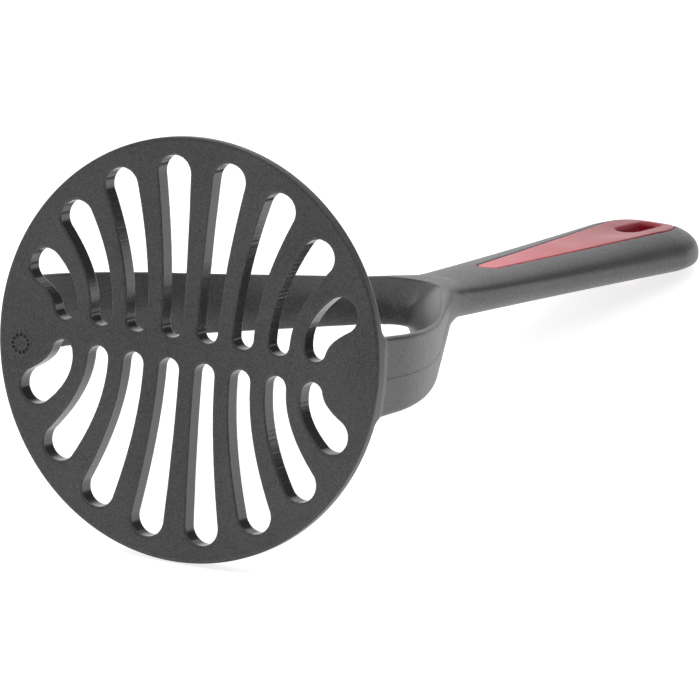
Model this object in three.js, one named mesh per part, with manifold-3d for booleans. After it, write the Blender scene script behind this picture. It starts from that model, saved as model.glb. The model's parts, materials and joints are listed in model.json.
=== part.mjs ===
// A potato masher moulded in one piece: a round slotted plate, two strap legs that lean together into an arch, and
// a flat oval handle. A soft inlay fills a pocket in the handle's top and lines the slot that it hangs by.
//
// Every shape is drawn in the masher's own frame, in millimetres: x across the plate, y from the mashing face
// along the handle, z towards the side that carries the inlay. The whole masher is then laid down on its plate's
// rim and its handle's end, with the origin under the middle of its bounding box.

import * as THREE from 'three';
import { ConvexGeometry } from 'three/addons/geometries/ConvexGeometry.js';
import { mergeVertices } from 'three/addons/utils/BufferGeometryUtils.js';
import Module from 'manifold-3d';

const GAP = 0.3; // clearance between neighbouring solids
const CUT_MARGIN = 5; // a cutter reaches this far past the solid that it cuts

// Mashing plate
const PLATE_RADIUS = 47.8;
const PLATE_THICKNESS = 4.8;
const RIM_BAND = 2.3; // the rim is straight up to here, then slopes in to the back face
const BACK_BEVEL = 1.2;
const FRONT_EDGE = 0.5;
const RIM_SIDES = 96;

// Slots of one quarter of the plate, from the middle out: where the slot's inner end lies along the spine, the
// direction from the centre in which its outer end lies, where along its height it starts to fan out, and the
// power by which it widens towards its outer end.
const SLOTS = [
  { root: 4.5, fan: 80, turn: 0.42, flare: 1.8 },
  { root: 13.5, fan: 60, turn: 0.44, flare: 1.8 },
  { root: 22.5, fan: 40, turn: 0.47, flare: 1.6 },
  { root: 31.6, fan: 20, turn: 0.52, flare: 0.9 },
];
const SLOT_FROM_SPINE = 4.9; // centre of a slot's inner end, above or below the spine's middle line
const SLOT_END_CIRCLE = 39.7; // the centres of the outer ends lie on this radius
const SLOT_INNER_RADIUS = 2.6;
const SLOT_OUTER_RADIUS = 4.1;

// Bow: a strap that tapers from its middle line to both edges, bent into two legs that meet in a round crotch
const STRAP_MIDDLE = 3.2;
const STRAP_EDGE = 2;
const STRAP_TAPER = (STRAP_MIDDLE - STRAP_EDGE) / 2; // on each face
const FOOT_X = 47; // outer face of a leg at the plate
const SHIN_TOP = new THREE.Vector2(46.9, 14);
const KNEE = new THREE.Vector2(46.7, 29.5);
const THIGH = new THREE.Vector2(36, 53.6);
const LEAN = Math.atan(0.455); // of a leg's upper half, towards the other leg
const LEG_TOP = 95; // a leg ends and the yoke begins
const BOW_TOP_SIDE = { foot: 9, crotch: 3.2 }; // z of the strap's upper edge
const BOW_UNDERSIDE = { foot: -8.8, crotch: -7.1 };
const BOW_END = 113.6; // both edges level out here, and the handle's section begins
const YOKE_SIDE_END = 114; // the yoke's outer faces run into the handle here

// The space between the legs narrows to a round end: where its two sides aim, how they lean (x per y), and the radius
// of its end. It is tighter along the bow's underside than along its top, so the inner faces slope.
const WEDGE = { corner: 122.4, lean: 0.517, radius: 10.15 };
const WEDGE_UNDER = { corner: 107.8, lean: 0.6, radius: 3 };
const WEDGE_POWER = 3; // going down, it tightens quickly at first
const WEDGE_LEVELS = [1, 0.8, 0.6, 0.35, 0]; // shares of the bow's height between which it is straight

// Handle
const NECK = 122;
const SHOULDER = 225; // widest point
const TIP = 245.3;
const HALF_WIDTH = { neck: 9, shoulder: 15 };
const TOP_SIDE = { neck: 2.1, shoulder: 4.2 };
const UNDERSIDE = -6.7;
const TOP_POWER = 1.8; // by which the top side rises from neck to shoulder
const NECK_RISE = { start: 134, end: 112, height: 0.6, width: 0.3 }; // the section grows again towards the yoke
const SIDE_HEIGHT = { neck: 0.3, shoulder: -1.5 }; // z where the section is widest
const SECTION_POWER = 2.4; // of the superellipse
const END_ROUND = { width: 223, depth: 231 }; // the end starts to round off here, seen from above and from the side
const END_POWER = 2.2;
const TIP_FLAT = 0.2; // share of the section that is left at the tip

// Grip inlay
const INLAY_START = 145.5;
const INLAY_END = 240.5;
const INLAY_WIDEST = 227;
const INLAY_HALF_WIDTH = 7.8;
const INLAY_START_WIDTH = 2.4;
const INLAY_DEPTH = 1.8;

// Hang hole, a slot along the handle
const HOLE_Y = 228;
const HOLE_LENGTH = 17;
const HOLE_WIDTH = 5.2;
const LINING = 1.3; // thickness of the inlay's wall round the hole

const nylon = () => new THREE.MeshStandardMaterial({ color: 0x3c3c3d, roughness: 0.55, metalness: 0 });
const softRed = () => new THREE.MeshStandardMaterial({ color: 0xa3122b, roughness: 0.6, metalness: 0 });

const { clamp, lerp, degToRad } = THREE.MathUtils;
const wasm = await Module();
wasm.setup();

// ---- joining and cutting ----

function solid(geometry) {
  const bare = geometry.clone();
  bare.deleteAttribute('normal');
  bare.deleteAttribute('uv');
  const merged = mergeVertices(bare, 1e-4);
  return new wasm.Manifold(new wasm.Mesh({
    numProp: 3,
    vertProperties: new Float32Array(merged.attributes.position.array),
    triVerts: new Uint32Array(merged.index.array),
  }));
}

function geometryOf(manifold) {
  const mesh = manifold.getMesh();
  const geometry = new THREE.BufferGeometry();
  geometry.setAttribute('position', new THREE.BufferAttribute(mesh.vertProperties, 3));
  geometry.setIndex(new THREE.BufferAttribute(mesh.triVerts, 1));
  return geometry;
}

// ---- shapes ----

// An outline in the x-y plane, raised into a prism between two heights.
function prism(outline, low, high) {
  const geometry = new THREE.ExtrudeGeometry(new THREE.Shape(outline), { depth: high - low, bevelEnabled: false });
  geometry.translate(0, 0, low);
  return geometry;
}

// A straight extrusion of a unit section whose every point is then moved to place(x, y, share along it).
function formed(outline, steps, place) {
  const geometry = new THREE.ExtrudeGeometry(new THREE.Shape(outline), { depth: 1, steps, bevelEnabled: false });
  const position = geometry.attributes.position;
  const point = new THREE.Vector3();
  for (let i = 0; i < position.count; i += 1) {
    point.fromBufferAttribute(position, i);
    place(point);
    position.setXYZ(i, point.x, point.y, point.z);
  }
  return geometry;
}

// A slot outline with round ends, its length along y.
function roundedSlot(centreY, length, width, arcSteps = 8) {
  const r = width / 2;
  const reach = length / 2 - r;
  const points = [];
  for (const end of [1, -1]) {
    for (let i = 0; i <= arcSteps; i += 1) {
      const a = (Math.PI * i) / arcSteps;
      points.push(new THREE.Vector2(end * r * Math.cos(a), centreY + end * (reach + r * Math.sin(a))));
    }
  }
  return points;
}

// ---- mashing plate ----

function slotOutline(slot, signX, signZ) {
  const fan = degToRad(slot.fan);
  const end = new THREE.Vector2(SLOT_END_CIRCLE * Math.cos(fan), SLOT_END_CIRCLE * Math.sin(fan));
  const start = new THREE.Vector2(slot.root, SLOT_FROM_SPINE);
  const bend = new THREE.Vector2(slot.root, lerp(start.y, end.y, slot.turn));
  const middle = new THREE.QuadraticBezierCurve(start, bend, end);
  const sideSteps = 7;
  const arcSteps = 6;
  const radiusAt = (s) => lerp(SLOT_INNER_RADIUS, SLOT_OUTER_RADIUS, s ** slot.flare);
  const points = [];
  const add = (s, turn) => {
    const along = middle.getTangent(s);
    const heading = Math.atan2(along.y, along.x) + turn;
    const p = middle.getPoint(s);
    const r = radiusAt(s);
    points.push(new THREE.Vector2(signX * (p.x + r * Math.cos(heading)), signZ * (p.y + r * Math.sin(heading))));
  };
  for (let i = 0; i < sideSteps; i += 1) add(i / sideSteps, -Math.PI / 2);
  for (let i = 0; i < arcSteps; i += 1) add(1, Math.PI * (i / arcSteps - 0.5));
  for (let i = sideSteps; i > 0; i -= 1) add(i / sideSteps, Math.PI / 2);
  for (let i = 0; i < arcSteps; i += 1) add(0, Math.PI * (i / arcSteps + 0.5));
  return points;
}

function plateGeometry() {
  const profile = [
    new THREE.Vector2(0, 0),
    new THREE.Vector2(PLATE_RADIUS - FRONT_EDGE, 0),
    new THREE.Vector2(PLATE_RADIUS, FRONT_EDGE),
    new THREE.Vector2(PLATE_RADIUS, RIM_BAND),
    new THREE.Vector2(PLATE_RADIUS - BACK_BEVEL, PLATE_THICKNESS),
    new THREE.Vector2(0, PLATE_THICKNESS),
  ];
  let plate = solid(new THREE.LatheGeometry(profile, RIM_SIDES));
  for (const slot of SLOTS) {
    for (const [signX, signZ] of [[1, 1], [-1, 1], [1, -1], [-1, -1]]) {
      const cutter = prism(slotOutline(slot, signX, signZ), -CUT_MARGIN, PLATE_THICKNESS + CUT_MARGIN);
      cutter.rotateX(-Math.PI / 2);
      plate = plate.subtract(solid(cutter));
    }
  }
  return geometryOf(plate);
}

// ---- bow ----

const lineX = (y) => THIGH.x - Math.tan(LEAN) * (y - THIGH.y); // outer face of a leg's upper half

const bowShare = (y) => clamp((y - PLATE_THICKNESS) / (BOW_END - PLATE_THICKNESS), 0, 1);
const bowTop = (y) => lerp(BOW_TOP_SIDE.foot, BOW_TOP_SIDE.crotch, bowShare(y));
const bowUnder = (y) => lerp(BOW_UNDERSIDE.foot, BOW_UNDERSIDE.crotch, bowShare(y));

// Half the width of the space between the legs at y, at a share of the bow's height.
function wedgeX(y, heightShare) {
  const under = (WEDGE_UNDER.corner - y) * WEDGE_UNDER.lean;
  const top = (WEDGE.corner - y) * WEDGE.lean;
  return lerp(under, top, heightShare ** WEDGE_POWER);
}

// The strap's section: x is the depth below the outer face, y runs from the lower edge to the upper one.
function strapSection() {
  return [
    new THREE.Vector2(STRAP_TAPER, 0),
    new THREE.Vector2(STRAP_TAPER + STRAP_EDGE, 0),
    new THREE.Vector2(STRAP_MIDDLE, 0.5),
    new THREE.Vector2(STRAP_TAPER + STRAP_EDGE, 1),
    new THREE.Vector2(STRAP_TAPER, 1),
    new THREE.Vector2(0, 0.5),
  ];
}

// side is 1 for the leg at +x and -1 for the one at -x.
function legGeometry(side) {
  const foot = PLATE_THICKNESS + GAP;
  const outer = new THREE.Path();
  outer.moveTo(FOOT_X, foot);
  outer.lineTo(SHIN_TOP.x, SHIN_TOP.y);
  outer.quadraticCurveTo(KNEE.x, KNEE.y, THIGH.x, THIGH.y);
  outer.lineTo(lineX(LEG_TOP), LEG_TOP);
  const line = outer.getPoints(10);
  const last = line.length - 1;
  return formed(strapSection(), last, (p) => {
    const i = Math.round(p.z * last);
    const at = line[i];
    const before = line[Math.max(i - 1, 0)];
    const after = line[Math.min(i + 1, last)];
    const level = i === 0 || i === last; // both ends are cut square to the handle
    const along = level ? new THREE.Vector2(0, 1) : after.clone().sub(before).normalize();
    const heightShare = side > 0 ? p.y : 1 - p.y;
    const inner = p.x > STRAP_MIDDLE / 2;
    const thickness = inner ? Math.max(p.x, (at.x - wedgeX(at.y, heightShare)) * Math.cos(LEAN)) : p.x;
    const depth = i === last ? thickness / Math.cos(LEAN) : thickness;
    const y = at.y + depth * along.x;
    p.set(side * (at.x - depth * along.y), y, lerp(bowUnder(y), bowTop(y), heightShare));
  });
}

// The outline of the space between the legs, from y = from to its round end, at a share of the bow's height.
function wedgeOutline(heightShare, from, z) {
  const arcSteps = 14;
  const share = heightShare ** WEDGE_POWER;
  const corner = lerp(WEDGE_UNDER.corner, WEDGE.corner, share);
  const lean = lerp(WEDGE_UNDER.lean, WEDGE.lean, share);
  const radius = lerp(WEDGE_UNDER.radius, WEDGE.radius, share);
  const slant = Math.atan(lean);
  const middle = corner - radius / Math.sin(slant);
  const half = (corner - from) * lean;
  const points = [new THREE.Vector3(half, from, z), new THREE.Vector3(-half, from, z)];
  for (let i = 0; i <= arcSteps; i += 1) {
    const a = lerp(slant, Math.PI - slant, i / arcSteps);
    points.push(new THREE.Vector3(radius * Math.cos(a), middle + radius * Math.sin(a), z));
  }
  return points;
}

// The two legs' upper ends, filled in between and cut out by the wedge.
function crotchGeometry() {
  const start = LEG_TOP + GAP;
  const taper = STRAP_TAPER / Math.cos(LEAN);
  const right = [
    new THREE.Vector2(lineX(start) - taper, start),
    new THREE.Vector2(lineX(YOKE_SIDE_END) - taper, YOKE_SIDE_END),
  ];
  const left = right.map((p) => new THREE.Vector2(-p.x, p.y)).reverse();
  const block = formed([...right, ...left], 1, (p) => {
    p.z = lerp(bowUnder(p.y), bowTop(p.y), p.z);
  });
  const from = start - CUT_MARGIN;
  const levels = WEDGE_LEVELS.map((share) => [share, lerp(bowUnder(BOW_END), bowTop(BOW_END), share)]);
  const layers = [[1, bowTop(BOW_END) + CUT_MARGIN], ...levels, [0, bowUnder(BOW_END) - CUT_MARGIN]];
  let crotch = solid(block);
  for (let i = 1; i < layers.length; i += 1) {
    const above = wedgeOutline(layers[i - 1][0], from, layers[i - 1][1]);
    const below = wedgeOutline(layers[i][0], from, layers[i][1]);
    crotch = crotch.subtract(solid(new ConvexGeometry([...above, ...below])));
  }
  return crotch;
}

// ---- handle ----

const handleShare = (y) => clamp((y - NECK) / (SHOULDER - NECK), 0, 1);
const endRound = (y, from) => (1 - clamp((y - from) / (TIP - from), 0, 1) ** END_POWER) ** (1 / END_POWER);

// The handle's section at y: half width, height of its widest line, and how far it rises above and drops below it.
function handleSection(y, lowered = 0) {
  const share = handleShare(y);
  const side = lerp(SIDE_HEIGHT.neck, SIDE_HEIGHT.shoulder, share);
  const grown = clamp((NECK_RISE.start - y) / (NECK_RISE.start - NECK_RISE.end), 0, 1) ** 2;
  const top = lerp(TOP_SIDE.neck, TOP_SIDE.shoulder, share ** TOP_POWER) + NECK_RISE.height * grown;
  const halfWidth = lerp(HALF_WIDTH.neck, HALF_WIDTH.shoulder, share) + NECK_RISE.width * grown;
  const depth = Math.max(endRound(y, END_ROUND.depth), TIP_FLAT);
  return {
    halfWidth: halfWidth * Math.max(endRound(y, END_ROUND.width), TIP_FLAT),
    side,
    rise: (top - side) * depth - lowered,
    drop: (side - UNDERSIDE) * depth,
  };
}

function unitSuperellipse(count) {
  return Array.from({ length: count }, (_, i) => {
    const a = (2 * Math.PI * i) / count;
    const round = (v) => Math.sign(v) * Math.abs(v) ** (2 / SECTION_POWER);
    return new THREE.Vector2(round(Math.cos(a)), round(Math.sin(a)));
  });
}

// A stretch of the handle. Its stations crowd together towards the tip.
function handleGeometry(from, to, lowered = 0) {
  const steps = to < TIP ? 2 : 22;
  return formed(unitSuperellipse(28), steps, (p) => {
    const crowd = to < TIP ? p.z : Math.sin((p.z * Math.PI) / 2);
    const y = lerp(from, to, crowd);
    const section = handleSection(y, lowered);
    p.set(-p.x * section.halfWidth, y, section.side + p.y * (p.y > 0 ? section.rise : section.drop));
  });
}

function yokeGeometry() {
  return geometryOf(crotchGeometry().add(solid(handleGeometry(BOW_END, NECK))));
}

// Half the inlay's width, seen from above.
function inlayHalfWidth(y) {
  if (y > INLAY_WIDEST) {
    const s = (y - INLAY_WIDEST) / (INLAY_END - INLAY_WIDEST);
    return INLAY_HALF_WIDTH * Math.sqrt(Math.max(1 - s * s, 0));
  }
  const s = (y - INLAY_START) / (INLAY_WIDEST - INLAY_START);
  const nose = Math.sqrt(clamp((y - INLAY_START) / INLAY_START_WIDTH, 0, 1));
  return lerp(INLAY_START_WIDTH, INLAY_HALF_WIDTH, s) * nose;
}

function inlayOutline(grow) {
  const steps = 24;
  const right = [];
  const left = [];
  for (let i = 1; i < steps; i += 1) {
    const s = (1 - Math.cos((Math.PI * i) / steps)) / 2;
    const y = lerp(INLAY_START, INLAY_END, s);
    right.push(new THREE.Vector2(inlayHalfWidth(y) + grow, y));
    left.push(new THREE.Vector2(-inlayHalfWidth(y) - grow, y));
  }
  const start = new THREE.Vector2(0, INLAY_START - grow);
  const end = new THREE.Vector2(0, INLAY_END + grow);
  return [start, ...right, end, ...left.reverse()];
}

function handleAndInlay() {
  const low = UNDERSIDE - CUT_MARGIN;
  const high = TOP_SIDE.shoulder + CUT_MARGIN;
  const whole = solid(handleGeometry(NECK + GAP, TIP));
  const hole = solid(prism(roundedSlot(HOLE_Y, HOLE_LENGTH, HOLE_WIDTH), low, high));
  const throughSlot = (margin) => solid(prism(
    roundedSlot(HOLE_Y, HOLE_LENGTH + 2 * margin, HOLE_WIDTH + 2 * margin), low, high));
  const cap = solid(prism(inlayOutline(0), 0, high)).subtract(solid(handleGeometry(NECK, TIP, INLAY_DEPTH)));
  const pocket = solid(prism(inlayOutline(GAP), 0, high))
    .subtract(solid(handleGeometry(NECK, TIP, INLAY_DEPTH + GAP)));
  const inlay = whole.intersect(cap.add(throughSlot(LINING))).subtract(hole);
  const handle = whole.subtract(pocket).subtract(throughSlot(LINING + GAP));
  return { handle: geometryOf(handle), inlay: geometryOf(inlay) };
}

// ---- assembly ----

function named(name, geometry, material) {
  const mesh = new THREE.Mesh(geometry, material);
  mesh.name = name;
  return mesh;
}

const masher = new THREE.Group();
masher.add(named('mashing_plate', plateGeometry(), nylon()));
masher.add(named('leg_right', legGeometry(1), nylon()));
masher.add(named('leg_left', legGeometry(-1), nylon()));
masher.add(named('yoke', yokeGeometry(), nylon()));
const grip = handleAndInlay();
masher.add(named('handle', grip.handle, nylon()));
masher.add(named('grip_inlay', grip.inlay, softRed()));

// Laid down: tipped until the handle's underside reaches the line that touches the rim's lowest point.
const rimPoint = new THREE.Vector2(RIM_BAND, -PLATE_RADIUS);
const handlePoints = grip.handle.attributes.position;
let tip = Math.PI / 2;
for (let i = 0; i < handlePoints.count; i += 1) {
  tip = Math.min(tip, Math.atan2(handlePoints.getZ(i) - rimPoint.y, handlePoints.getY(i) - rimPoint.x));
}
masher.rotation.x = -tip;

const lying = new THREE.Group();
lying.add(masher);
lying.updateMatrixWorld(true);
const box = new THREE.Box3().setFromObject(lying, true);
const centre = box.getCenter(new THREE.Vector3());
masher.position.set(-centre.x, -centre.y, -box.min.z);

export default lying;
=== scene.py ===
"""Looks of a moulded potato masher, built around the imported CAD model.

The nylon body is one smooth shape with blended feet, a bowl-shaped crotch and rounded edges. It is written
as a signed distance in the masher's own frame, in millimetres: x across the plate, y from the mashing face
along the handle, z towards the side that carries the inlay. The surface where that distance is zero is meshed
and cut into one piece for each CAD node.
"""

import json

import bmesh
import bpy
import numpy as np
from mathutils import Matrix, Vector


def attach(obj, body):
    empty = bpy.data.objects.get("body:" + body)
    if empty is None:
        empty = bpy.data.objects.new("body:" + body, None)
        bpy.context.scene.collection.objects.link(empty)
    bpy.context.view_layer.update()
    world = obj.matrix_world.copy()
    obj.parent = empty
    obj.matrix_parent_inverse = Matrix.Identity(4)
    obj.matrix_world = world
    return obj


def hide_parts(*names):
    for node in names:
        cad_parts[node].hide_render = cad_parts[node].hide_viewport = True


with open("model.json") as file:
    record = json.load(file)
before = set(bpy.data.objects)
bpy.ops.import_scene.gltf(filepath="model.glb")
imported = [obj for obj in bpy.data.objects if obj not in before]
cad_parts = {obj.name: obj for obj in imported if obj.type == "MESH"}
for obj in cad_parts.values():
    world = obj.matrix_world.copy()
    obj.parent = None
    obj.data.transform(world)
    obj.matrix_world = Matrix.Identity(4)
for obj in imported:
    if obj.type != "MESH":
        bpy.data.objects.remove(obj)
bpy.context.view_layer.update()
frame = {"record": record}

MM = 0.001
TINY = 1e-6
FAR = 1e9
SEAM = 0.05  # gap between the inlay and its pocket, on each side

# Grid steps of the meshed pieces in x, y and z
PLATE_GRID = (0.4, 0.35, 0.4)
BODY_GRID = (0.4, 0.4, 0.4)
INLAY_GRID = (0.3, 0.4, 0.25)
DIAL_GRID = (0.08, 0.08, 0.08)

# Mashing plate
PLATE_RADIUS = 47.8
PLATE_THICKNESS = 4.8
RIM_BAND = 2.3
BACK_BEVEL = 1.2
RIM_ROUND = 0.6
BACK_ROUND = 0.5
SLOT_FRONT_ROUND = 0.35

# Slots of one quarter: inner end along the spine, direction of the outer end in degrees, height share where
# the slot starts to fan out, and the power by which it widens
SLOTS = [(4.5, 80, 0.42, 1.8), (13.5, 60, 0.44, 1.8), (22.5, 40, 0.47, 1.6), (31.6, 20, 0.52, 0.9)]
SLOT_FROM_SPINE = 4.9
SLOT_END_CIRCLE = 39.7
SLOT_INNER_RADIUS = 2.6
SLOT_OUTER_RADIUS = 4.1
SLOT_SEGMENTS = 22
SLOT_WALL_REACH = 0.06  # faces whose middle is this near to a slot's outline are part of its wall
SLOT_WALL_START = 0.45  # y, behind the rounded front edge

# Mould date dial on the plate's front
DIAL_X = -42.1
DIAL_Z = -4.7
DIAL_RADIUS = 2.9
DIAL_DEPTH = 0.6
DIAL_SEAM = 0.015
DIAL_LIP = 0.02  # it stands proud of the plate by this, and thins out over the pocket's edge
DIAL_LIP_WIDTH = 0.3
DIAL_DOTS = 12
DIAL_DOT = {"ring": 2.0, "radius": 0.42, "depth": 0.4, "slope": 0.2}
DIAL_BAR = {"half_width": 0.2, "half_length": 1.3, "depth": 0.15}
DIAL_BAR_DIRECTION = (0.87, 0.5)

# Bow
STRAP = {"top_foot": 2.7, "top": 1.5, "under": 3.3}  # its thickness, thinner along its top edge past the foot
STRAP_ROUND = {"top_foot": 1.0, "top": 2.8, "under": 1.3}  # of its outer edges
STRAP_ROUND_CHANGE = (50.0, 100.0)  # y between which the top edge gets rounder
STRAP_BLEND = 0.8  # of the strap's inner face into the wedge between the legs
STRAP_DRAFT = 0.03
CREST_ROUND = 0.45  # of the inner edges
FOOT_START = 2.6  # y, inside the plate
FOOT = (47.0, 0.0)
SHIN_TOP = (46.9, 14.0)
KNEE = (46.7, 29.5)
THIGH = (36.0, 53.6)
LEAN = 0.455  # of a leg's upper half towards the other leg, x per y
SIDE_END = 127.0  # the bow ends here, inside the handle
SIDE_END_ROUND = 8.0
SIDE_CROSSING = 150.0  # past where the lines of the two outer faces cross
LEG_SEGMENTS = 16  # of its bend
BOW_TOP = {"foot": 9.4, "crotch": 3.2}
BOW_UNDER = {"foot": -8.9, "crotch": -7.0}
PARTING = {"foot": 0.0, "crotch": -2.3}  # where the two halves of the mould meet
BOW_END = 113.6  # where those heights reach their values at the crotch
BOW_OVERRUN = 1.2  # share up to which they go on changing, inside the handle
CROTCH_TOP = {"corner": 122.4, "lean": 0.517, "radius": 10.15}  # the wedge between the legs, at its top
CROTCH_UNDER = {"corner": 107.8, "lean": 0.6, "radius": 3.0}
WEDGE_POWER = 3.0  # going down, the wedge tightens quickly at first
UNDERSIDE_RISE = 0.11  # slope of the bow's underside, rising towards the gap
UNDERSIDE_RISE_REACH = 9.0  # distance from the outer face up to which it rises
FOOT_FILLET = 1.9

# Raised lines where the two halves of the mould meet
FLASH = 0.13  # radius
FLASH_SUNK = FLASH / 3  # depth of its middle below the leg's outer face
FLASH_REACH = (6.5, 106.0)
FLASH_POINTS = 90
RIM_FLASH_Y = 0.22
RIM_FLASH_INSET = 0.05  # from the plate's radius to the line's outermost point
RIM_FLASH_SEGMENTS = 240

# Handle
HANDLE_START = 104.0  # inside the bow
NECK = 122.0
SHOULDER = 225.0
TIP = 245.3
HALF_WIDTH = {"neck": 9.0, "shoulder": 15.0}
TOP_SIDE = {"neck": 2.65, "shoulder": 4.3}
TOP_POWER = 1.8  # by which the top side rises from neck to shoulder
UNDERSIDE = -6.54
SIDE_HEIGHT = {"neck": 0.0, "shoulder": -2.6}  # z where the section is widest
SECTION_POWER = 2.4  # of the superellipse
NECK_RISE = (134.0, 112.0)  # y between which the section changes towards the bow, by what follows
NECK_CHANGE = {"top": 0.4, "half_width": 0.2, "underside": 1.0, "power": 1.0}
END_ROUND = {"width": 223.0, "depth": 231.0}  # the end starts to round off here, from above and from the side
END_POWER = 2.2
END_SHARE = 1e-4  # smallest base of that power, so that the tip keeps a size
NECK_FILLET = 2.2

# Inlay and hang hole
INLAY_START = 145.5
INLAY_END = 240.5
INLAY_WIDEST = 227.0
INLAY_HALF_WIDTH = 7.8
INLAY_START_WIDTH = 2.4
INLAY_SEGMENTS = 60
INLAY_DEPTH = 1.8
INLAY_FLOOR = -2.0  # its cap has nothing below this z
INLAY_EDGE_ROUND = 0.45
DISH_START = 182.0
DISH_DEPTH = 1.0
DISH_END = (234.5, 240.0)
DISH_POWER = 1.5  # of its section across the inlay
DISH_HALF_WIDTH_MIN = 0.5
HOLE_Y = 228.0
HOLE_LENGTH = 17.0
HOLE_WIDTH = 5.2
HOLE_ROUND = 1.1
LINING = 1.3

# The body is cut into pieces here, in the gaps between the CAD solids
PLATE_CUT = 5.0
LEG_CUT = 95.15
HANDLE_CUT = 122.15
CUT_MARGIN = 1.0  # a skin reaches this far past its cut


# ---- distances ----

def fade(a, b, share):
    """The value at a share of the way from a to b."""
    return a + (b - a) * share


def share_of(value, start, end):
    """How far value is from start to end, from 0 to 1."""
    return np.clip((value - start) / (end - start), 0, 1)


def blend_union(a, b, reach):
    """The nearer of two distances, with a fillet where the two shapes meet."""
    near = np.maximum(reach - np.abs(a - b), 0) / reach
    return np.minimum(a, b) - near * near * reach / 4


def meet(a, b, radius):
    """What two shapes share, with an edge rounded to radius where their surfaces cross."""
    u, v = a + radius, b + radius
    return np.minimum(np.maximum(u, v), 0) + np.hypot(np.maximum(u, 0), np.maximum(v, 0)) - radius


def bezier(start, bend, end, s):
    """Points of a quadratic curve at the shares s."""
    start, bend, end = (np.array(p, float) for p in (start, bend, end))
    s = np.asarray(s)[:, None]
    return (1 - s) ** 2 * start + 2 * s * (1 - s) * bend + s ** 2 * end


def along_segment(x, y, a, b):
    """Share of the segment a-b nearest to a point, and the offset from there."""
    dx, dy = b[0] - a[0], b[1] - a[1]
    t = np.clip(((x - a[0]) * dx + (y - a[1]) * dy) / (dx * dx + dy * dy), 0, 1)
    return t, x - a[0] - t * dx, y - a[1] - t * dy


def path_distance(x, y, points):
    """Distance to an open path, positive on its right-hand side."""
    best = np.full(np.broadcast(x, y).shape, FAR)
    side = np.ones_like(best)
    for a, b in zip(points[:-1], points[1:]):
        _, ox, oy = along_segment(x, y, a, b)
        distance = np.hypot(ox, oy)
        nearer = distance < best
        best = np.where(nearer, distance, best)
        side = np.where(nearer, np.sign(ox * (b[1] - a[1]) - oy * (b[0] - a[0])), side)
    return best * side


# ---- plate ----

def slot_paths():
    """Middle line and radii of each slot of one quarter."""
    for root, fan, turn, flare in SLOTS:
        angle = np.radians(fan)
        end = (SLOT_END_CIRCLE * np.cos(angle), SLOT_END_CIRCLE * np.sin(angle))
        bend = (root, fade(SLOT_FROM_SPINE, end[1], turn))
        s = np.linspace(0, 1, SLOT_SEGMENTS + 1)
        radii = fade(SLOT_INNER_RADIUS, SLOT_OUTER_RADIUS, s ** flare)
        yield bezier((root, SLOT_FROM_SPINE), bend, end, s), radii


SLOT_PATHS = list(slot_paths())


def slots(x, z):
    """Distance to the nearest slot, negative inside it."""
    x, z = np.abs(x), np.abs(z)
    nearest = np.full(np.broadcast(x, z).shape, FAR)
    for points, radii in SLOT_PATHS:
        for i in range(SLOT_SEGMENTS):
            t, ox, oz = along_segment(x, z, points[i], points[i + 1])
            nearest = np.minimum(nearest, np.hypot(ox, oz) - fade(radii[i], radii[i + 1], t))
    return nearest


def disc(x, y, z):
    """The plate before its slots and its dial pocket."""
    r = np.hypot(x, z) - PLATE_RADIUS
    slope = np.hypot(PLATE_THICKNESS - RIM_BAND, BACK_BEVEL)
    bevel = (r * (PLATE_THICKNESS - RIM_BAND) + (y - RIM_BAND) * BACK_BEVEL) / slope
    return meet(meet(np.maximum(r, bevel), -y, RIM_ROUND), y - PLATE_THICKNESS, BACK_ROUND)


def plate(x, y, z):
    """The plate with its slots and the pocket for the date dial."""
    web = meet(meet(-slots(x, z), -y, SLOT_FRONT_ROUND), y - PLATE_THICKNESS, BACK_ROUND)
    across_dial = np.hypot(x - DIAL_X, z - DIAL_Z)
    dial_pocket = np.maximum(across_dial - DIAL_RADIUS - DIAL_SEAM, y - DIAL_DEPTH - DIAL_SEAM)
    return np.maximum(np.maximum(disc(x, y, z), web), -dial_pocket)


# ---- bow ----

CROSSING_X = THIGH[0] - LEAN * (SIDE_CROSSING - THIGH[1])
LEG_BEND = bezier(SHIN_TOP, KNEE, THIGH, np.linspace(0, 1, LEG_SEGMENTS + 1))
LEG_PATH = [FOOT, *LEG_BEND, (CROSSING_X, SIDE_CROSSING)]


def bow_level(ends, y):
    """Height of a line along the bow, which keeps its slope a little into the handle."""
    share = np.clip((y - PLATE_THICKNESS) / (BOW_END - PLATE_THICKNESS), 0, BOW_OVERRUN)
    return fade(ends["foot"], ends["crotch"], share)


def gap(x, y, z, side, draft):
    """The space between the legs, negative inside it: a wedge with a round end, tighter further down.

    side is the distance from the legs' outer faces, and draft how much they lean inwards here.
    """
    level = 1 - (1 - share_of(z, bow_level(BOW_TOP, y), bow_level(BOW_UNDER, y))) ** WEDGE_POWER
    corner = fade(CROTCH_TOP["corner"], CROTCH_UNDER["corner"], level)
    lean = fade(CROTCH_TOP["lean"], CROTCH_UNDER["lean"], level)
    radius = fade(CROTCH_TOP["radius"], CROTCH_UNDER["radius"], level)
    cosine = 1 / np.hypot(1, lean)
    sine = lean * cosine
    middle = corner - radius / sine
    x = np.abs(x)
    arc = np.hypot(x, y - middle) - radius
    wedge = np.where((y - middle) * cosine > x * sine, arc, x * cosine + (y - corner) * sine)
    edge = fade(STRAP["top_foot"], STRAP["top"], share_of(y, PLATE_THICKNESS, THIGH[1]))
    strap = fade(edge, STRAP["under"], level)
    return -blend_union(-wedge, draft - strap - side, STRAP_BLEND)


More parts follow.
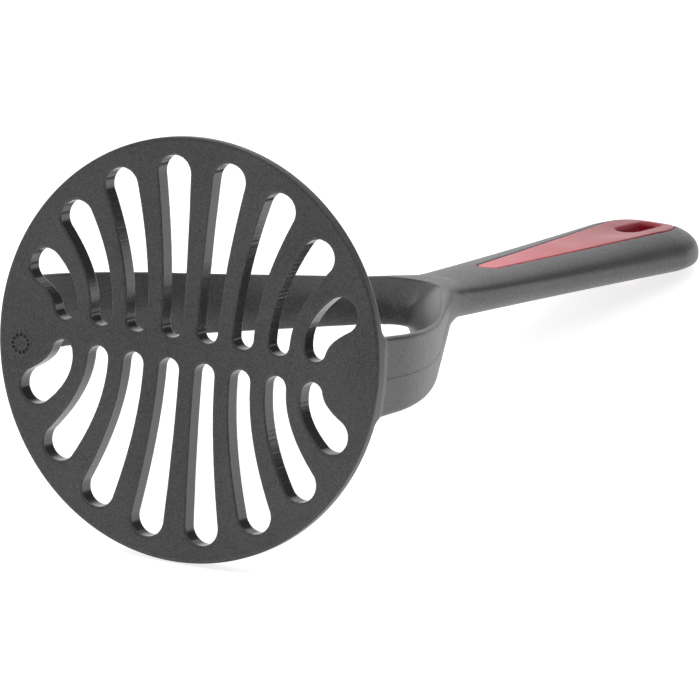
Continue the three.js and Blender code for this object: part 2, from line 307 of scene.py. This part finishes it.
def shaft(x, y, z):
    """Both legs and the handle, less the space between the legs."""
    side = path_distance(np.abs(x), y, LEG_PATH)
    draft = STRAP_DRAFT * np.abs(z - bow_level(PARTING, y))
    underside = bow_level(BOW_UNDER, y) - UNDERSIDE_RISE * np.clip(side, -UNDERSIDE_RISE_REACH, 0)
    edges = np.maximum(z - bow_level(BOW_TOP, y), underside - z)
    top_round = fade(STRAP_ROUND["top_foot"], STRAP_ROUND["top"], share_of(y, *STRAP_ROUND_CHANGE))
    edge_round = np.where(z > bow_level(PARTING, y), top_round, STRAP_ROUND["under"])
    strap = meet(meet(side + draft, edges, edge_round), y - SIDE_END, SIDE_END_ROUND)
    strap = np.maximum(strap, FOOT_START - y)
    solid = blend_union(strap, handle(x, y, z), NECK_FILLET)
    return meet(solid, -gap(x, y, z, side, draft), CREST_ROUND)


# ---- handle ----

def end_round(y, start):
    return np.maximum(1 - share_of(y, start, TIP) ** END_POWER, END_SHARE) ** (1 / END_POWER)


def handle(x, y, z):
    """A superellipse in section, which widens to the shoulder and rounds off at the tip."""
    share = share_of(y, NECK, SHOULDER)
    side = fade(SIDE_HEIGHT["neck"], SIDE_HEIGHT["shoulder"], share)
    rise = share_of(y, *NECK_RISE) ** 2
    top = fade(TOP_SIDE["neck"], TOP_SIDE["shoulder"], share ** TOP_POWER) + NECK_CHANGE["top"] * rise
    depth = end_round(y, END_ROUND["depth"])
    half_width = fade(HALF_WIDTH["neck"], HALF_WIDTH["shoulder"], share) + NECK_CHANGE["half_width"] * rise
    half_width = half_width * end_round(y, END_ROUND["width"])
    under = UNDERSIDE + NECK_CHANGE["underside"] * rise
    half_depth = np.where(z > side, top - side, side - under) * depth
    u = np.abs(x) / half_width
    v = np.abs(z - side) / half_depth
    power = SECTION_POWER + NECK_CHANGE["power"] * rise
    level = np.maximum(u ** power + v ** power, TINY) ** (1 / power)
    steepness = np.hypot((u / level) ** (power - 1) / half_width, (v / level) ** (power - 1) / half_depth)
    within = (level - 1) / np.maximum(steepness, TINY)
    return np.maximum(within, np.maximum(HANDLE_START - y, y - TIP))


def inlay_half_width(y):
    tail = share_of(y, INLAY_WIDEST, INLAY_END)
    nose = np.sqrt(share_of(y, INLAY_START, INLAY_START + INLAY_START_WIDTH))
    widening = fade(INLAY_START_WIDTH, INLAY_HALF_WIDTH, share_of(y, INLAY_START, INLAY_WIDEST))
    return nose * np.where(tail > 0, INLAY_HALF_WIDTH * np.sqrt(1 - tail ** 2), widening)


def inlay_path():
    """One side of the inlay's outline, from its nose to its tail."""
    s = (1 - np.cos(np.linspace(0, np.pi, INLAY_SEGMENTS + 1))) / 2
    y = fade(INLAY_START, INLAY_END, s)
    return list(zip(inlay_half_width(y), y))


INLAY_PATH = inlay_path()


def inlay_outline(x, y):
    return path_distance(np.abs(x), y, INLAY_PATH)


def hang_hole(x, y):
    reach = (HOLE_LENGTH - HOLE_WIDTH) / 2
    _, ox, oy = along_segment(x, y, (0, HOLE_Y - reach), (0, HOLE_Y + reach))
    return np.hypot(ox, oy) - HOLE_WIDTH / 2


# ---- the two mouldings ----

def body(x, y, z):
    """The whole body, no wider than its plate."""
    return np.maximum(blend_union(shaft(x, y, z), plate(x, y, z), FOOT_FILLET), np.hypot(x, z) - PLATE_RADIUS)


def bow(x, y, z):
    """The body behind the plate, where the plate's slots and dial don't matter."""
    return np.maximum(blend_union(shaft(x, y, z), disc(x, y, z), FOOT_FILLET), np.hypot(x, z) - PLATE_RADIUS)


def grip(x, y, z):
    """The handle with the pocket for the inlay and the wider hole for its lining."""
    surface = shaft(x, y, z)
    pocket = np.maximum(inlay_outline(x, y) - SEAM, -surface - INLAY_DEPTH - SEAM)
    pocket = np.maximum(pocket, INLAY_FLOOR - z)
    passage = hang_hole(x, y) - LINING - SEAM
    return meet(surface, -np.minimum(pocket, passage), INLAY_EDGE_ROUND)


def inlay(x, y, z):
    """The soft inlay: a dished cap in its pocket and a lining through the hang hole."""
    surface = handle(x, y, z)
    width = np.maximum(inlay_half_width(y), DISH_HALF_WIDTH_MIN)
    along = share_of(y, DISH_START, HOLE_Y) * (1 - share_of(y, *DISH_END))
    across = np.maximum(1 - (x / width) ** 2, 0) ** DISH_POWER
    dish = DISH_DEPTH * along ** 2 * (3 - 2 * along) * across
    face = np.where(z > INLAY_FLOOR, surface + dish, surface)
    cap = np.maximum(meet(inlay_outline(x, y) + SEAM, face, INLAY_EDGE_ROUND), -surface - INLAY_DEPTH)
    cap = np.maximum(cap, INLAY_FLOOR - z)
    hole = hang_hole(x, y)
    lining = meet(hole - LINING + SEAM, face, INLAY_EDGE_ROUND)
    return meet(np.minimum(cap, lining), -hole, HOLE_ROUND)


def dial(x, y, z):
    """The mark of a round insert in the mould: a ring of dimples and a sunk bar."""
    x, z = x - DIAL_X, z - DIAL_Z
    radius = np.hypot(x, z)
    turn = 2 * np.pi / DIAL_DOTS
    angle = np.arctan2(z, x)
    away = angle - turn * np.round(angle / turn)
    dots = np.hypot(radius * np.cos(away) - DIAL_DOT["ring"], radius * np.sin(away)) - DIAL_DOT["radius"]
    face = -y + DIAL_DOT["depth"] * np.clip(-dots / DIAL_DOT["slope"], 0, 1)
    ux, uz = DIAL_BAR_DIRECTION
    beside = np.abs(x * uz - z * ux) - DIAL_BAR["half_width"]
    bar = np.maximum(beside, np.abs(x * ux + z * uz) - DIAL_BAR["half_length"])
    face = face + np.clip(-bar, 0, DIAL_BAR["depth"])
    lip = share_of(radius, DIAL_RADIUS - DIAL_LIP_WIDTH, DIAL_RADIUS + DIAL_LIP_WIDTH)
    face = face - DIAL_LIP * (1 - 2 * lip)
    return np.maximum(np.maximum(radius - DIAL_RADIUS - DIAL_LIP_WIDTH, face), y - DIAL_DEPTH)


# ---- meshing ----

def surface_nets(field, low, high, step):
    """Quads round the zero surface of a field, one vertex in each grid cell that it passes through.

    The grid lies on whole multiples of step, so neighbouring pieces share it.
    """
    step = np.array(step, float)
    axes = [np.arange(np.floor(a / s) - 2, np.ceil(b / s) + 3) * s for a, b, s in zip(low, high, step)]
    value = field(*np.ix_(*axes))
    for axis in range(3):
        border = np.swapaxes(value, 0, axis)
        border[[0, -1]] = np.maximum(border[[0, -1]], step[axis])  # closed where the shape runs on
    inside = value < 0
    shape = np.array(value.shape) - 1
    corners = [np.array((i, j, k)) for i in (0, 1) for j in (0, 1) for k in (0, 1)]
    blocks = [inside[tuple(slice(c, c + n) for c, n in zip(corner, shape))] for corner in corners]
    full = sum(block.astype(int) for block in blocks)
    active = (full > 0) & (full < 8)
    cell = np.argwhere(active)
    number = np.full(active.shape, -1)
    number[active] = np.arange(len(cell))
    total = np.zeros((len(cell), 3))
    hits = np.zeros(len(cell))
    unit = np.eye(3, dtype=int)
    for corner in corners:
        for axis in range(3):
            if corner[axis]:
                continue
            a = value[tuple((cell + corner).T)]
            b = value[tuple((cell + corner + unit[axis]).T)]
            crosses = (a < 0) != (b < 0)
            t = np.where(crosses, a / np.where(crosses, a - b, 1), 0)
            total += crosses[:, None] * (corner + t[:, None] * unit[axis])
            hits += crosses
    origin = np.array([a[0] for a in axes])
    points = origin + (cell + total / hits[:, None]) * step
    quads = []
    for axis in range(3):
        u, v = unit[(axis + 1) % 3], unit[(axis + 2) % 3]
        lower = inside[tuple(slice(0, -1) if i == axis else slice(None) for i in range(3))]
        upper = inside[tuple(slice(1, None) if i == axis else slice(None) for i in range(3))]
        edge = np.argwhere(lower != upper)
        ring = np.stack([number[tuple((edge + offset).T)] for offset in (-u - v, -v, 0 * u, -u)], axis=1)
        outward = lower[tuple(edge.T)]
        quads.append(np.where(outward[:, None], ring, ring[:, ::-1]))
    return points, np.concatenate(quads)


def slope(field, points, reach=0.01):
    """Gradient of a field at points, from both sides."""
    columns = []
    for axis in np.eye(3) * reach:
        columns.append((field(*(points + axis).T) - field(*(points - axis).T)) / (2 * reach))
    return np.stack(columns, axis=1)


def settle(field, points, limit, rounds=2, reach=0.005):
    """Moves points onto the zero surface, apart from those further away than limit."""
    for _ in range(rounds):
        value = field(*points.T)
        gradient = np.stack([field(*(points + axis).T) - value for axis in np.eye(3) * reach], axis=1) / reach
        move = -value[:, None] * gradient / np.maximum((gradient ** 2).sum(1), 1e-3)[:, None]
        points = points + move * (np.linalg.norm(move, axis=1) < limit)[:, None]
    return points


def clip(bm, cuts):
    """Cuts the mesh by planes, each given by place on an axis, axis and side kept, and closes each cut."""
    for place, axis, keep in cuts:
        normal = Vector([0, 0, 0])
        normal[axis] = -keep
        point = Vector([0, 0, 0])
        point[axis] = place
        everything = bm.verts[:] + bm.edges[:] + bm.faces[:]
        bmesh.ops.bisect_plane(
            bm, geom=everything, plane_co=point, plane_no=normal, dist=1e-5, clear_outer=True)
        rim = [edge for edge in bm.edges if edge.is_boundary]
        caps = bmesh.ops.holes_fill(bm, edges=rim, sides=0)["faces"]
        for face in caps:
            face.smooth = False


def masher_frame():
    """From the masher's own frame in millimetres to the row frame in metres.

    It follows from the mount on the mashing face, whose axis points away from the handle.
    """
    mount = frame["record"]["mounts"][0]
    along = -Vector(mount["axis"]).normalized()
    across = Vector((1, 0, 0))
    up = across.cross(along)
    turn = Matrix((across, along, up)).transposed().to_4x4()
    return Matrix.Translation(Vector(mount["pos_m"])) @ turn @ Matrix.Scale(MM, 4)


TO_ROW = masher_frame()


def skin(field, low, high, step):
    """Points and quads of a field's surface within a box."""
    points, quads = surface_nets(field, low, high, step)
    return settle(field, points, max(step)), quads


def moulded(name, field, points, quads, cuts=()):
    """A smooth closed piece of a field's skin, shaded by the field's own slope."""
    mesh = bpy.data.meshes.new(name)
    mesh.from_pydata(points.tolist(), [], quads.tolist())
    mesh.shade_smooth()
    if cuts:
        bm = bmesh.new()
        bm.from_mesh(mesh)
        clip(bm, cuts)
        bm.to_mesh(mesh)
        bm.free()
    co = np.empty(len(mesh.vertices) * 3)
    mesh.vertices.foreach_get("co", co)
    normals = slope(field, co.reshape(-1, 3))
    normals /= np.linalg.norm(normals, axis=1)[:, None]
    corner_vertex = np.empty(len(mesh.loops), int)
    mesh.loops.foreach_get("vertex_index", corner_vertex)
    corner_normals = normals[corner_vertex]
    for polygon in mesh.polygons:
        if not polygon.use_smooth:
            corner_normals[polygon.loop_start:polygon.loop_start + polygon.loop_total] = polygon.normal
    mesh.normals_split_custom_set(corner_normals)
    mesh.transform(TO_ROW)
    piece = bpy.data.objects.new(name, mesh)
    bpy.context.scene.collection.objects.link(piece)
    return piece


# ---- materials ----

GRAIN_DEPTH = 0.00004  # metres
SOFT_RED = (0.33, 0.004, 0.025)
# the paler red is a painted sheen, where light grazes the inlay's nose
PAINTED_SHEEN_RED = (0.8, 0.13, 0.16)
PAINTED_SHEEN_BETWEEN = (0.02, 0.105)  # y in the row frame, in metres, from the palest red to the full one
FLOOR_GLOW = 0.78


def node_material(name):
    material = bpy.data.materials.new(name)
    material.use_nodes = True
    nodes = material.node_tree.nodes
    return material, nodes, material.node_tree.links, nodes["Principled BSDF"]


def grey(value, blue=1.0):
    return value, value, value * blue


def noise(nodes, links, coordinate, scale, detail=2.0, roughness=0.5):
    node = nodes.new("ShaderNodeTexNoise")
    node.inputs["Scale"].default_value = scale
    node.inputs["Detail"].default_value = detail
    node.inputs["Roughness"].default_value = roughness
    links.new(coordinate, node.inputs["Vector"])
    return node.outputs["Fac"]


def remap(nodes, links, value, low, high, out_low, out_high):
    node = nodes.new("ShaderNodeMapRange")
    for key, number in zip(("From Min", "From Max", "To Min", "To Max"), (low, high, out_low, out_high)):
        node.inputs[key].default_value = number
    links.new(value, node.inputs["Value"])
    return node.outputs["Result"]


def added(nodes, links, a, b):
    node = nodes.new("ShaderNodeMath")
    node.operation = "ADD"
    links.new(a, node.inputs[0])
    links.new(b, node.inputs[1])
    return node.outputs[0]


def mixed_color(nodes, links, factor, a, b):
    node = nodes.new("ShaderNodeMix")
    node.data_type = "RGBA"
    node.inputs["A"].default_value = (*a, 1)
    node.inputs["B"].default_value = (*b, 1)
    links.new(factor, node.inputs["Factor"])
    return node.outputs["Result"]


def bumped(nodes, links, height, strength):
    node = nodes.new("ShaderNodeBump")
    node.inputs["Distance"].default_value = GRAIN_DEPTH
    node.inputs["Strength"].default_value = strength
    links.new(height, node.inputs["Height"])
    return node.outputs["Normal"]


def nylon_material(name, dark, light, smooth, rough):
    """Dark grey nylon with a fine grain: its tones from dark to light, its roughness from smooth to rough."""
    material, nodes, links, shader = node_material(name)
    place = nodes.new("ShaderNodeTexCoord").outputs["Object"]
    grain = noise(nodes, links, place, 2400, 3.0, 0.65)
    flow = noise(nodes, links, place, 45, 3.0)
    speck = noise(nodes, links, place, 1300, 2.0)
    by_flow = remap(nodes, links, flow, 0.3, 0.7, 0, 0.3)
    by_grain = remap(nodes, links, grain, 0.36, 0.64, 0, 0.7)
    both = added(nodes, links, by_flow, by_grain)
    tone = mixed_color(nodes, links, both, grey(dark, 1.03), grey(light, 1.015))
    links.new(tone, shader.inputs["Base Color"])
    links.new(remap(nodes, links, speck, 0.3, 0.7, smooth, rough), shader.inputs["Roughness"])
    shader.inputs["IOR"].default_value = 1.53
    links.new(bumped(nodes, links, grain, 0.5), shader.inputs["Normal"])
    return material


def soft_grip_material():
    """Matt red rubber, paler towards its nose: a painted sheen where light grazes it."""
    material, nodes, links, shader = node_material("soft_grip")
    place = nodes.new("ShaderNodeTexCoord").outputs["Object"]
    grain = noise(nodes, links, place, 3200, 2.0)
    flow = noise(nodes, links, place, 60, 2.0)
    parts = nodes.new("ShaderNodeSeparateXYZ")
    links.new(place, parts.inputs[0])
    # painted sheen, strongest at the nose
    sheen_share = remap(nodes, links, parts.outputs["Y"], *PAINTED_SHEEN_BETWEEN, 1, 0)
    tone = mixed_color(nodes, links, sheen_share, SOFT_RED, PAINTED_SHEEN_RED)
    links.new(tone, shader.inputs["Base Color"])
    links.new(remap(nodes, links, flow, 0.3, 0.7, 0.36, 0.44), shader.inputs["Roughness"])
    shader.inputs["Sheen Weight"].default_value = 0.1
    shader.inputs["Sheen Roughness"].default_value = 0.45
    links.new(bumped(nodes, links, grain, 0.4), shader.inputs["Normal"])
    return material


def floor_material():
    """Pale, and emissive enough that shadows stay faint."""
    material, nodes, links, shader = node_material("floor_pale")
    place = nodes.new("ShaderNodeTexCoord").outputs["Object"]
    tone = mixed_color(nodes, links, noise(nodes, links, place, 3), grey(0.58), grey(0.6))
    links.new(tone, shader.inputs["Base Color"])
    shader.inputs["Roughness"].default_value = 0.9
    shader.inputs["Emission Color"].default_value = (1, 1, 1, 1)
    shader.inputs["Emission Strength"].default_value = FLOOR_GLOW
    return material


# ---- pieces ----

NYLON = nylon_material("nylon", dark=0.024, light=0.092, smooth=0.38, rough=0.48)
# the slots' walls: smoother for their polish, and darker than the nylon as painted shade
SHADED_POLISHED = nylon_material("nylon_polished_painted_shade", dark=0.016, light=0.028, smooth=0.16, rough=0.24)
SOFT_GRIP = soft_grip_material()


def show(piece, material, slot, *nodes):
    """Puts a piece on the root body, in place of the CAD nodes if it has any."""
    piece.data.materials.append(material)
    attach(piece, "root")
    if nodes:
        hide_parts(*nodes)


def polish_and_shade_slots(plate_piece):
    """The slots' walls come from polished pins, without the grain of the faces. Their nylon is also darker:
    painted shade in the slots.
    """
    mesh = plate_piece.data
    mesh.materials.append(SHADED_POLISHED)
    centre = np.empty(len(mesh.polygons) * 3)
    mesh.polygons.foreach_get("center", centre)
    to_masher = np.array(TO_ROW.inverted())
    x, y, z = (centre.reshape(-1, 3) @ to_masher[:3, :3].T + to_masher[:3, 3]).T
    wall = (np.abs(slots(x, z)) < SLOT_WALL_REACH) & (y > SLOT_WALL_START) & (y < PLATE_THICKNESS)
    mesh.polygons.foreach_set("material_index", wall.astype(np.int32))
    mesh.update()


def build_plate():
    low = (-PLATE_RADIUS, 0, -PLATE_RADIUS)
    high = (PLATE_RADIUS, PLATE_CUT + CUT_MARGIN, PLATE_RADIUS)
    piece = moulded("plate_moulding", body, *skin(body, low, high, PLATE_GRID), [(PLATE_CUT, 1, -1)])
    show(piece, NYLON, "nylon", "mashing_plate")
    polish_and_shade_slots(piece)


def build_bow():
    """Both legs and the yoke, cut from one skin so that their seams don't show."""
    low = (-PLATE_RADIUS, PLATE_CUT - CUT_MARGIN, BOW_UNDER["foot"] - FOOT_FILLET)
    high = (PLATE_RADIUS, HANDLE_CUT + CUT_MARGIN, BOW_TOP["foot"] + FOOT_FILLET)
    points, quads = skin(bow, low, high, BODY_GRID)
    for side, word in ((1, "right"), (-1, "left")):
        cuts = [(PLATE_CUT, 1, 1), (LEG_CUT, 1, -1), (0, 0, side)]
        leg = moulded(f"leg_moulding_{word}", bow, points, quads, cuts)
        show(leg, NYLON, "nylon", f"leg_{word}")
    yoke = moulded("yoke_moulding", bow, points, quads, [(LEG_CUT, 1, 1), (HANDLE_CUT, 1, -1)])
    show(yoke, NYLON, "nylon", "yoke")


def build_grip():
    half_width, top = HALF_WIDTH["shoulder"], TOP_SIDE["shoulder"]
    low, high = (-half_width, HANDLE_CUT - CUT_MARGIN, UNDERSIDE), (half_width, TIP, top)
    piece = moulded("handle_moulding", grip, *skin(grip, low, high, BODY_GRID), [(HANDLE_CUT, 1, 1)])
    show(piece, NYLON, "nylon", "handle")
    low, high = (-INLAY_HALF_WIDTH, INLAY_START, UNDERSIDE), (INLAY_HALF_WIDTH, INLAY_END, top)
    piece = moulded("inlay_moulding", inlay, *skin(inlay, low, high, INLAY_GRID))
    show(piece, SOFT_GRIP, "soft_grip", "grip_inlay")


def tube(name, points, radius, beside, sides=8):
    """A thin closed tube along a line that never runs along beside."""
    points = [Vector(p) for p in points]
    bm = bmesh.new()
    rings = []
    for i, point in enumerate(points):
        along = (points[min(i + 1, len(points) - 1)] - points[max(i - 1, 0)]).normalized()
        u = along.cross(Vector(beside)).normalized()
        v = along.cross(u)
        turns = [2 * np.pi * k / sides for k in range(sides)]
        rings.append([bm.verts.new(point + radius * (u * np.cos(a) + v * np.sin(a))) for a in turns])
    for ring, following in zip(rings[:-1], rings[1:]):
        for k in range(sides):
            bm.faces.new((ring[k], ring[(k + 1) % sides], following[(k + 1) % sides], following[k]))
    bm.faces.new(rings[0][::-1])
    bm.faces.new(rings[-1])
    bmesh.ops.recalc_face_normals(bm, faces=bm.faces[:])
    mesh = bpy.data.meshes.new(name)
    bm.to_mesh(mesh)
    bm.free()
    mesh.shade_smooth()
    mesh.transform(TO_ROW)
    piece = bpy.data.objects.new(name, mesh)
    bpy.context.scene.collection.objects.link(piece)
    return piece


def build_flash():
    """The mould's parting lines on both legs and round the plate's front edge, just proud of them."""
    y = np.linspace(*FLASH_REACH, FLASH_POINTS)
    path = np.array(LEG_PATH)
    x = np.interp(y, path[:, 1], path[:, 0]) - FLASH_SUNK
    z = bow_level(PARTING, y)
    for side, word in ((1, "right"), (-1, "left")):
        show(tube(f"flash_{word}", zip(side * x, y, z), FLASH, (0, 0, 1)), NYLON, "nylon")
    turns = np.linspace(0, 2 * np.pi, RIM_FLASH_SEGMENTS + 1)
    radius = PLATE_RADIUS - RIM_FLASH_INSET - FLASH
    around = zip(radius * np.cos(turns), np.full_like(turns, RIM_FLASH_Y), radius * np.sin(turns))
    show(tube("flash_rim", around, FLASH, (0, 1, 0)), NYLON, "nylon")


def build_dial():
    reach = DIAL_RADIUS + DIAL_LIP_WIDTH
    low = (DIAL_X - reach, -DIAL_LIP, DIAL_Z - reach)
    high = (DIAL_X + reach, DIAL_DEPTH, DIAL_Z + reach)
    show(moulded("date_dial", dial, *skin(dial, low, high, DIAL_GRID)), NYLON, "nylon")


# ---- stage ----

FLOOR_REACH = 4.0
WORLD_STRENGTH = 0.1
MIDDLE = (0, 0, 0.04)

# Name, place, target, size and power in watts
LIGHTS = [
    ("key_above", (-0.1, 0.3, 1.3), (-0.1, 0.3, 0), (3.0, 3.0), 29),
    ("back_panel", (-0.8, 1.6, 0.3), MIDDLE, (1.7, 0.9), 5.3),
    ("side_left", (-1.5, 0.0, 0.6), MIDDLE, (1.2, 0.9), 9),
]

CAMERA_PLACE = (1.2105, -2.3336, 0.9056)
CAMERA_DIRECTION = (-0.4418, 0.8374, -0.3216)
CAMERA_LENS = 617.1  # millimetres


def build_floor():
    a, b = -FLOOR_REACH, FLOOR_REACH
    mesh = bpy.data.meshes.new("floor")
    mesh.from_pydata([(a, a, 0), (b, a, 0), (b, b, 0), (a, b, 0)], [], [(0, 1, 2, 3)])
    mesh.materials.append(floor_material())
    floor = bpy.data.objects.new("floor", mesh)
    bpy.context.scene.collection.objects.link(floor)


def area_light(name, place, target, size, power):
    light = bpy.data.lights.new(name, "AREA")
    light.shape = "RECTANGLE"
    light.size, light.size_y = size
    light.energy = power
    lamp = bpy.data.objects.new(name, light)
    lamp.location = place
    lamp.visible_camera = False
    lamp.rotation_euler = (Vector(target) - Vector(place)).to_track_quat("-Z", "Y").to_euler()
    bpy.context.scene.collection.objects.link(lamp)


def build_lights():
    world = bpy.data.worlds.new("studio")
    bpy.context.scene.world = world
    world.use_nodes = True
    background = world.node_tree.nodes["Background"]
    background.inputs["Color"].default_value = (1, 1, 1, 1)
    background.inputs["Strength"].default_value = WORLD_STRENGTH
    for light in LIGHTS:
        area_light(*light)
    bpy.context.scene.view_settings.view_transform = "Standard"


def build_camera():
    camera = bpy.data.cameras.new("camera")
    camera.lens = CAMERA_LENS
    camera.sensor_width = 36
    camera.clip_start = 0.1
    camera.clip_end = 50
    eye = bpy.data.objects.new("camera", camera)
    eye.location = CAMERA_PLACE
    eye.rotation_euler = Vector(CAMERA_DIRECTION).to_track_quat("-Z", "Y").to_euler()
    bpy.context.scene.collection.objects.link(eye)
    bpy.context.scene.camera = eye


build_camera()
build_plate()
build_bow()
build_grip()
build_dial()
build_flash()
build_floor()
build_lights()
